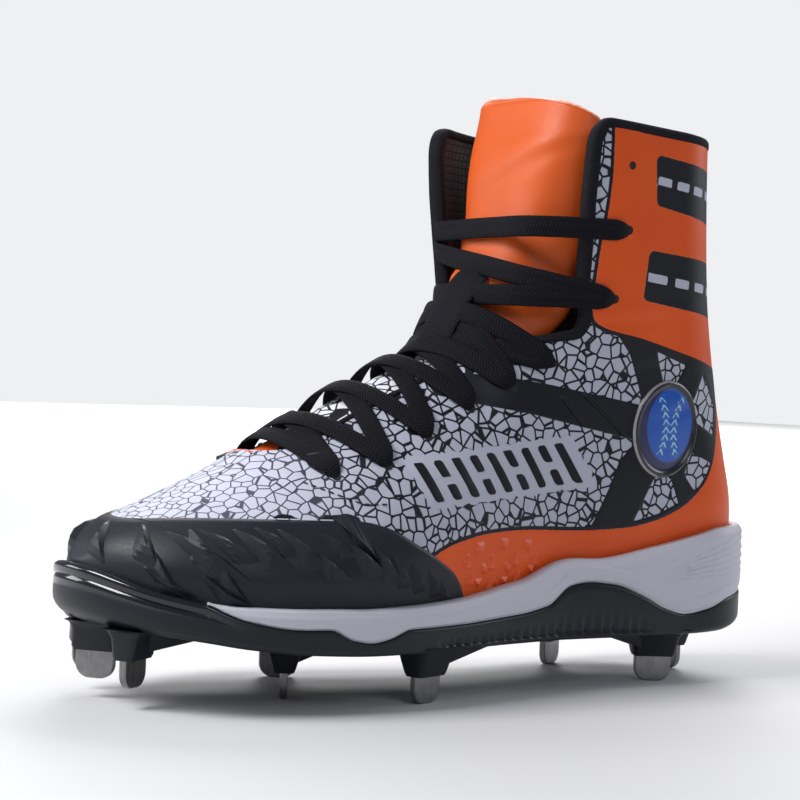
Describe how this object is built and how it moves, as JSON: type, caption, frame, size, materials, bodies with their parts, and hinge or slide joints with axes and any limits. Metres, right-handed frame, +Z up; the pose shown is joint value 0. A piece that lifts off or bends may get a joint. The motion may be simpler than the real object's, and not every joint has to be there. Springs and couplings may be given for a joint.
{
  "type": "baseball cleat",
  "caption": "High-top cleat with an open laced shaft, tall tongue, cupped sole, toe guard and steel blade studs.",
  "frame": {"origin": "centre of the bounding box seen from above, on the floor under the studs", "axes": "+Z up, +Y from the toe to the heel, +X to the shoe's outer side"},
  "size_m": [0.1031, 0.3, 0.2309],
  "materials": {
    "upper": "smooth synthetic, orange with printed panels",
    "toe_guard": "matte, moulded facets",
    "tongue": "satin, padded",
    "lace": "flat weave",
    "insole": "soft lining",
    "midsole": "matte foam",
    "outsole": "gloss at the toe, satin along the side",
    "stud": "dark brushed"
  },
  "bodies": {
    "root": {"upper": "upper", "toe_guard": "toe_guard", "tongue": "tongue", "lace_keeper": "lace", "lace": "lace", "insole": "insole", "midsole": "midsole", "outsole": "outsole", "stud_heel_outer": "stud", "stud_heel_inner": "stud", "stud_heel_back": "stud", "stud_ball_outer": "stud", "stud_ball_inner": "stud", "stud_middle": "stud", "stud_toe_outer": "stud", "stud_toe_middle": "stud", "stud_toe_inner": "stud"}
  },
  "joints": []
}
